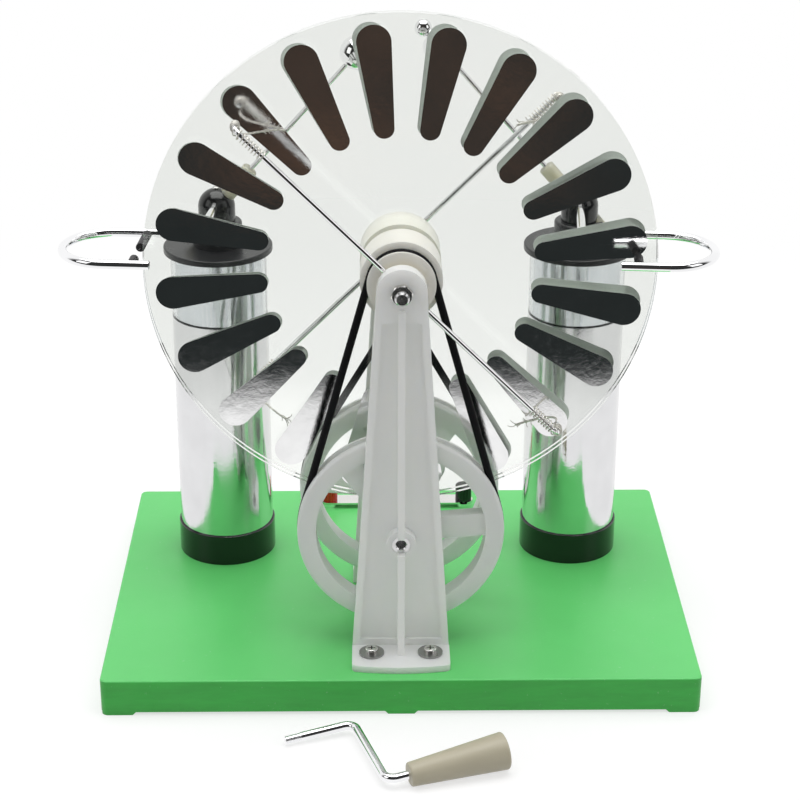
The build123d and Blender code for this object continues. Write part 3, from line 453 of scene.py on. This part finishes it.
DRESS = {
    "base": GREEN,
    "bus_strips": BRASS,
    "strip_nuts": STEEL,
    "jar_seats": BLACK,
    "jar_seat_screws": STEEL,
    "outer_foils": JAR_FOIL,
    "inner_foils": JAR_FOIL,
    "contact_rods": STEEL,
    "knob_screws": STEEL,
    "comb_sleeves": BLACK_MATT,
    "comb_needles": STEEL,
    "foot_screws": STEEL,
    "foot_washers": WASHER,
    "axle": SHAFT,
    "axle_nuts": STEEL,
    "disc_spacer": BRASS,
    "sectors_front": FOIL_FRONT,
    "sectors_rear": FOIL_REAR,
    "drive_shaft": SHAFT,
    "terminal_posts": CHROME,
    "terminal_cap_red": RED,
    "terminal_cap_black": BLACK,
    "link_strip": STEEL,
    "crank_rod": CHROME,
    "crank_grip": GRIP,
    "crank_retainer": STEEL,
    "jar_glass": TUBE,
    "jar_cap": BLACK_CAP,
    "knob": BLACK,
    "collector_fork": CHROME,
    "electrode_rod": CHROME,
    "spark_balls": CHROME,
    "electrode_handle": HANDLE,
    "upright": NYLON,
    "disc": DISC,
    "hub": IVORY,
    "hub_bush": BRASS,
    "drive_wheel": WHEEL_NYLON_SHADED,
    "neutraliser_collar": BRASS,
    "neutraliser_rods": CHROME,
}


def dress_nodes():
    """Give each CAD node its material, by its name with or without its side."""
    for name, item in nodes.items():
        key = name if name in DRESS else name.rsplit("_", 1)[0]
        if key not in DRESS:
            continue
        item.data.materials.clear()
        item.data.materials.append(DRESS[key])


def make_curve(name, splines, radius, material, sides=3):
    """Round wires through points, as one curve object."""
    data = bpy.data.curves.new(name, "CURVE")
    data.dimensions = "3D"
    data.bevel_depth = radius
    data.bevel_resolution = sides
    data.use_fill_caps = True
    for points, closed in splines:
        spline = data.splines.new("POLY")
        spline.points.add(len(points) - 1)
        for target, point in zip(spline.points, points):
            target.co = (point[0], point[1], point[2], 1.0)
        spline.use_cyclic_u = closed
    data.materials.append(material)
    item = bpy.data.objects.new(name, data)
    bpy.context.scene.collection.objects.link(item)
    return item


def rod_centre(s):
    """Point and direction on a neutraliser rod's centre line, at a distance from the axle."""
    straight = ROD_REACH - ROD_BEND
    if s <= straight:
        return (s, -ROD_PLANE), (1.0, 0.0)
    angle = (s - straight) / ROD_BEND
    if angle <= pi / 2:
        x = straight + ROD_BEND * sin(angle)
        return (x, -ROD_PLANE + ROD_BEND * (1 - cos(angle))), (cos(angle), sin(angle))
    beyond = s - straight - ROD_BEND * pi / 2
    return (ROD_REACH, -ROD_PLANE + ROD_BEND + beyond), (0.0, 1.0)


def winding_point(turn):
    """Point of the wound wire after a number of turns."""
    straight = ROD_REACH - ROD_BEND
    bend_length = ROD_BEND * pi / 2
    if turn <= COIL_TURNS:
        s, radius = straight - (COIL_TURNS - turn) * COIL_PITCH, COIL_RADIUS
    elif turn <= COIL_TURNS + BEND_TURNS:
        share = (turn - COIL_TURNS) / BEND_TURNS
        ease = (1 - cos(pi * share)) / 2
        s = straight + share * bend_length
        radius = COIL_RADIUS + ease * (COIL_END_RADIUS - COIL_RADIUS)
    else:
        s = straight + bend_length + (turn - COIL_TURNS - BEND_TURNS) * HOOK_PITCH
        radius = COIL_END_RADIUS
    radius += LOOSENESS * (1 + sin(LOOSE_STEP * turn))
    (x, y), (tx, ty) = rod_centre(s)
    out = radius * cos(2 * pi * turn)
    return Vector((x - ty * out, y + tx * out, radius * sin(2 * pi * turn)))


def brush_line(share, start, way, tip):
    """Point on the brush's gentle curve from the winding to the disc."""
    control = start + way * (tip - start).length * 0.35
    near = tip.lerp(start, 0.35)
    near.y = tip.y - 1.0 * MM
    a = start.lerp(control, share)
    b = control.lerp(near, share)
    c = near.lerp(tip, share)
    return a.lerp(b, share).lerp(b.lerp(c, share), share)


def fray_points(draw, start, way):
    """A loose wire that leaves the brush and bends aside, level with the disc's face."""
    flat = Vector((way.x, 0.0, way.z)).normalized()
    side = Vector((flat.z, 0.0, -flat.x))
    stride = draw.uniform(*FRAY_LENGTH) * MM / FRAY_STEPS
    lean = draw.uniform(-FRAY_LEAN, FRAY_LEAN)
    bend = draw.uniform(-FRAY_BEND, FRAY_BEND)
    points = [start]
    for i in range(FRAY_STEPS):
        angle = lean + bend * i / FRAY_STEPS
        points.append(points[-1] + (flat * cos(angle) + side * sin(angle)) * stride)
    return points


def winding_splines(seed, tip):
    """The wound wire, the twisted strands of the brush and its frayed ends."""
    turns = COIL_TURNS + BEND_TURNS + HOOK_TURNS
    wound = [winding_point(i / POINTS_A_TURN) for i in range(turns * POINTS_A_TURN + 1)]
    start = wound[-1]
    way = (wound[-1] - wound[-2]).normalized()
    draw = random.Random(seed)
    strands = [wound]
    for strand in range(STRAND_COUNT):
        points = []
        for i in range(STRAND_STEPS + 1):
            share = i / STRAND_STEPS
            centre = brush_line(share, start, way, tip)
            angle = 2 * pi * (STRAND_TWISTS * share + strand / STRAND_COUNT)
            spread = STRAND_SPREAD * min(1.0, share * 6)
            offset = Vector((cos(angle), 0.6 * sin(angle), sin(angle))) * spread
            points.append(centre + offset)
        strands.append(points)
    for fray in range(FRAY_COUNT):
        share = draw.uniform(FRAY_FROM, 1.0)
        place = brush_line(share, start, way, tip)
        along = place - brush_line(share - 0.05, start, way, tip)
        strands.append(fray_points(draw, place, along))
    return strands


def make_windings():
    """The four wire windings with their brushes, in place of the plainer ones."""
    places = {"front": Matrix.Translation((0, MID_Y, 0))}
    places["rear"] = places["front"] @ Matrix.Rotation(pi, 4, "Z")
    arms = {"upper": ROD_ANGLE, "lower": ROD_ANGLE + 180}
    seed = WINDING_SEED
    for side, place in places.items():
        for arm, angle in arms.items():
            seed += 1
            lean = Matrix.Rotation(-radians(angle), 4, "Y")
            turn = place @ Matrix.Translation((0, 0, AXLE_Z)) @ lean
            strands = winding_splines(seed, BRUSH_TIPS[arm])
            coil = [([turn @ p for p in strands[0]], False)]
            fine = [([turn @ p for p in points], False) for points in strands[1:]]
            node = "winding_" + side + "_" + arm
            body = side + "_neutraliser"
            wound = make_curve("coil_" + side + "_" + arm, coil, WIRE_RADIUS, WIRE)
            brush = make_curve("brush_" + side + "_" + arm, fine, STRAND_RADIUS, WIRE, 2)
            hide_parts(node)
            for item in (wound, brush):
                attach(item, body)


def arc_points(radius, start, end, centre_z, y, count=40):
    """Points on an arc round the Y direction, from one angle to another in degrees."""
    points = []
    for i in range(count + 1):
        angle = radians(start + (end - start) * i / count)
        points.append(Vector((radius * cos(angle), y, centre_z + radius * sin(angle))))
    return points


def smooth_step(share):
    """Ease from 0 to 1."""
    return share * share * (3 - 2 * share)


def strand_points(start, end, aside, crossing_share, lead_share, count=40):
    """Straight strand that steps aside where it crosses the other one."""
    points = []
    for i in range(1, count):
        share = i / count
        if share <= crossing_share:
            step = smooth_step(share / crossing_share)
        elif share < lead_share:
            step = smooth_step((lead_share - share) / (lead_share - crossing_share))
        else:
            step = 0.0
        points.append(start.lerp(end, share) + Vector((0, aside * step, 0)))
    return points


def make_belts():
    """The open front belt and the crossed rear belt."""
    span = AXLE_Z - SHAFT_Z
    step = WHEEL_PITCH - PULLEY_PITCH
    lean = atan2(step, sqrt(span**2 - step**2)) * 180 / pi
    y = MID_Y - BELT_PLANE
    low = arc_points(WHEEL_PITCH, lean, -180 - lean, SHAFT_Z, y, 90)
    top = arc_points(PULLEY_PITCH, 180 - lean, lean, AXLE_Z, y, 60)
    front = make_curve("drive_belt_front", [(low + top, True)], BELT_RADIUS, RUBBER, 6)
    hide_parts("belt_front")
    y = MID_Y + BELT_PLANE
    total = WHEEL_PITCH + PULLEY_PITCH
    wrap = atan2(total, sqrt(span**2 - total**2)) * 180 / pi
    low = arc_points(WHEEL_PITCH, wrap, -180 - wrap, SHAFT_Z, y, 90)
    top = arc_points(PULLEY_PITCH, -wrap, 180 + wrap, AXLE_Z, y, 60)
    strand = sqrt(span**2 - total**2)
    crossing = WHEEL_PITCH / total
    lead = 1 - CROSSING_LEAD / strand
    up = strand_points(low[-1], top[0], -CROSSING_ASIDE, crossing, lead)
    down = strand_points(low[0], top[-1], CROSSING_ASIDE, crossing, lead)
    loop = low + up + top + down[::-1]
    rear = make_curve("drive_belt_rear", [(loop, True)], BELT_RADIUS, RUBBER, 6)
    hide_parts("belt_rear")
    for item in (front, rear):
        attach(item, "frame")


def make_camera():
    """Camera at the photograph's angle."""
    yaw, pitch, roll = radians(CAMERA_YAW), radians(CAMERA_PITCH), radians(CAMERA_ROLL)
    forward = Vector((sin(yaw) * cos(pitch), cos(yaw) * cos(pitch), -sin(pitch)))
    right = Vector((cos(yaw), -sin(yaw), 0))
    up = right.cross(forward)
    rolled_right = right * cos(roll) + up * sin(roll)
    rolled_up = up * cos(roll) - right * sin(roll)
    data = bpy.data.cameras.new("photo_camera")
    data.lens = CAMERA_LENS
    data.sensor_width = CAMERA_SENSOR
    data.clip_end = 50.0
    camera = bpy.data.objects.new("photo_camera", data)
    rows = zip(rolled_right, rolled_up, -forward, CAMERA_PLACE)
    camera.matrix_world = Matrix([list(row) for row in rows] + [[0, 0, 0, 1]])
    bpy.context.scene.collection.objects.link(camera)
    bpy.context.scene.camera = camera


def area_light(name, place, aim, size, power):
    """Soft rectangular lamp pointed at a place."""
    data = bpy.data.lights.new(name, "AREA")
    data.shape = "RECTANGLE"
    data.size, data.size_y = size
    data.energy = power
    lamp = bpy.data.objects.new(name, data)
    lamp.location = place
    lamp.rotation_euler = (Vector(aim) - Vector(place)).to_track_quat("-Z", "Y").to_euler()
    bpy.context.scene.collection.objects.link(lamp)


def make_world():
    """White surroundings with soft light; metal sees a darker room beyond the camera."""
    world = bpy.data.worlds.new("studio")
    bpy.context.scene.world = world
    world.use_nodes = True
    tree = world.node_tree
    path = tree.nodes.new("ShaderNodeLightPath")
    light = tree.nodes["Background"]
    light.inputs["Color"].default_value = grey(1.0)
    light.inputs["Strength"].default_value = SKY_LEVEL
    plain = tree.nodes.new("ShaderNodeBackground")
    plain.inputs["Color"].default_value = grey(1.0)
    way = tree.nodes.new("ShaderNodeTexCoord")
    parts = tree.nodes.new("ShaderNodeSeparateXYZ")
    tree.links.new(way.outputs["Generated"], parts.inputs[0])
    above = map_range(tree, parts.outputs["Z"], CEILING_START, CEILING_FULL, ROOM_LEVEL)
    behind = map_range(tree, parts.outputs["Y"], BACK_START, BACK_FULL, ROOM_LEVEL)
    room = tree.nodes.new("ShaderNodeBackground")
    tree.links.new(either(tree, above, behind), room.inputs["Color"])
    lit = choose(tree, path.outputs["Is Glossy Ray"], light.outputs[0], room.outputs[0])
    seen = either(tree, path.outputs["Is Camera Ray"], path.outputs["Is Transmission Ray"])
    final = choose(tree, seen, lit, plain.outputs[0])
    tree.links.new(final, tree.nodes["World Output"].inputs["Surface"])


def floor_material():
    """White table top that keeps a soft shadow; metal sees the room beyond its front edge."""
    material = bpy.data.materials.new("table_top")
    material.use_nodes = True
    tree = material.node_tree
    tree.nodes.remove(tree.nodes["Principled BSDF"])
    path = tree.nodes.new("ShaderNodeLightPath")
    geometry = tree.nodes.new("ShaderNodeNewGeometry")
    parts = tree.nodes.new("ShaderNodeSeparateXYZ")
    tree.links.new(geometry.outputs["Position"], parts.inputs[0])
    white = map_range(tree, parts.outputs["Y"], -WHITE_END, -WHITE_REACH)
    patch = noise(tree, geometry.outputs["Position"], BROWN_GRAIN, 2.0)
    brown = map_range(tree, patch, 0.40, 0.58)
    across = tree.nodes.new("ShaderNodeMath")
    across.operation = "ABSOLUTE"
    tree.links.new(parts.outputs["X"], across.inputs[0])
    middle = map_range(tree, across.outputs[0], *BROWN_SIDE, 1.0, 0.0)
    beyond = map_range(tree, parts.outputs["Y"], *BROWN_FRONT, 1.0, 0.0)
    share = times(tree, times(tree, brown, middle), beyond)
    room = ramp(tree, share, [(0.0, ROOM_GREY), (1.0, ROOM_BROWN)])
    blend = tree.nodes.new("ShaderNodeMix")
    blend.data_type = "RGBA"
    tree.links.new(white, blend.inputs["Factor"])
    tree.links.new(room, blend.inputs["A"])
    blend.inputs["B"].default_value = grey(1.0)
    mirror_view = tree.nodes.new("ShaderNodeEmission")
    tree.links.new(blend.outputs["Result"], mirror_view.inputs["Color"])
    lit = tree.nodes.new("ShaderNodeBsdfDiffuse")
    lit.inputs["Color"].default_value = grey(FLOOR_LIT)
    glow = tree.nodes.new("ShaderNodeEmission")
    glow.inputs["Strength"].default_value = FLOOR_GLOW
    near = tree.nodes.new("ShaderNodeAddShader")
    tree.links.new(lit.outputs[0], near.inputs[0])
    tree.links.new(glow.outputs[0], near.inputs[1])
    far = tree.nodes.new("ShaderNodeEmission")
    reach = tree.nodes.new("ShaderNodeVectorMath")
    reach.operation = "LENGTH"
    tree.links.new(geometry.outputs["Position"], reach.inputs[0])
    away = map_range(tree, reach.outputs["Value"], SHADOW_REACH, SHADOW_END)
    eye_view = choose(tree, away, near.outputs[0], far.outputs[0])
    plain = tree.nodes.new("ShaderNodeBsdfDiffuse")
    plain.inputs["Color"].default_value = grey(FLOOR_PLAIN)
    unseen = choose(tree, path.outputs["Is Glossy Ray"], plain.outputs[0], mirror_view.outputs[0])
    seen = either(tree, path.outputs["Is Camera Ray"], path.outputs["Is Transmission Ray"])
    final = choose(tree, seen, unseen, eye_view)
    tree.links.new(final, tree.nodes["Material Output"].inputs["Surface"])
    return material


def make_floor():
    """Large flat table under the feet."""
    mesh = bpy.data.meshes.new("table")
    shape = bmesh.new()
    signs = ((-1, -1), (1, -1), (1, 1), (-1, 1))
    corners = [shape.verts.new((x * FLOOR_HALF, y * FLOOR_HALF, 0)) for x, y in signs]
    shape.faces.new(corners)
    shape.to_mesh(mesh)
    shape.free()
    mesh.materials.append(floor_material())
    table = bpy.data.objects.new("table", mesh)
    bpy.context.scene.collection.objects.link(table)


dress_nodes()
make_windings()
make_belts()
make_camera()
make_world()
make_floor()
for name, place, size, power in LAMPS:
    area_light(name, place, LAMP_AIM, size, power)
bpy.context.scene.cycles.transparent_max_bounces = CLEAR_LAYERS
bpy.context.scene.view_settings.view_transform = "Standard"
